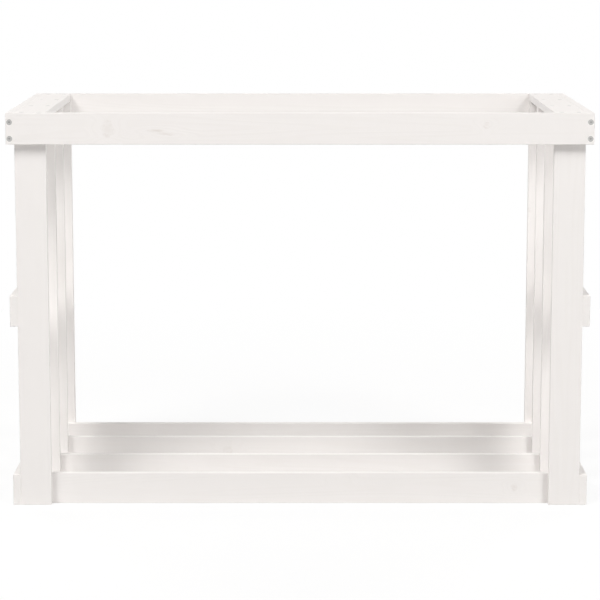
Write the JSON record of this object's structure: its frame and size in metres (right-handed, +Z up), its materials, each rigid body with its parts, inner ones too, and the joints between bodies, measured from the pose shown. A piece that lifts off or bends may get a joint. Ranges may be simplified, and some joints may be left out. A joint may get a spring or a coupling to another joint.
{
  "type": "firewood rack",
  "caption": "Open slatted firewood rack of white painted pine boards, with posts on both sides, cross rails that carry the logs off the floor, and a top frame with flat arm boards.",
  "frame": {"origin": "on the floor under the middle of the rack", "axes": "+X to the right seen from the front, +Y to the back, +Z up"},
  "size_m": [1.08, 0.52, 0.74],
  "materials": {
    "painted_pine": "white satin paint, faint grain and knots",
    "zinc_screw": "bright zinc plate",
    "painted_brad": "painted over with the boards"
  },
  "bodies": {
    "root": {"front_top_rail": "painted_pine", "back_top_rail": "painted_pine", "left_side_top_rail": "painted_pine", "left_side_middle_rail": "painted_pine", "left_side_bottom_rail": "painted_pine", "left_arm_board": "painted_pine", "left_front_post": "painted_pine", "left_second_post": "painted_pine", "left_third_post": "painted_pine", "left_back_post": "painted_pine", "right_side_top_rail": "painted_pine", "right_side_middle_rail": "painted_pine", "right_side_bottom_rail": "painted_pine", "right_arm_board": "painted_pine", "right_front_post": "painted_pine", "right_second_post": "painted_pine", "right_third_post": "painted_pine", "right_back_post": "painted_pine", "front_cross_rail": "painted_pine", "second_cross_rail": "painted_pine", "third_cross_rail": "painted_pine", "back_cross_rail": "painted_pine", "corner_screws": "zinc_screw", "left_arm_screws": "zinc_screw", "right_arm_screws": "zinc_screw", "cross_rail_screws": "zinc_screw", "left_side_brads": "painted_brad", "right_side_brads": "painted_brad"}
  },
  "joints": []
}
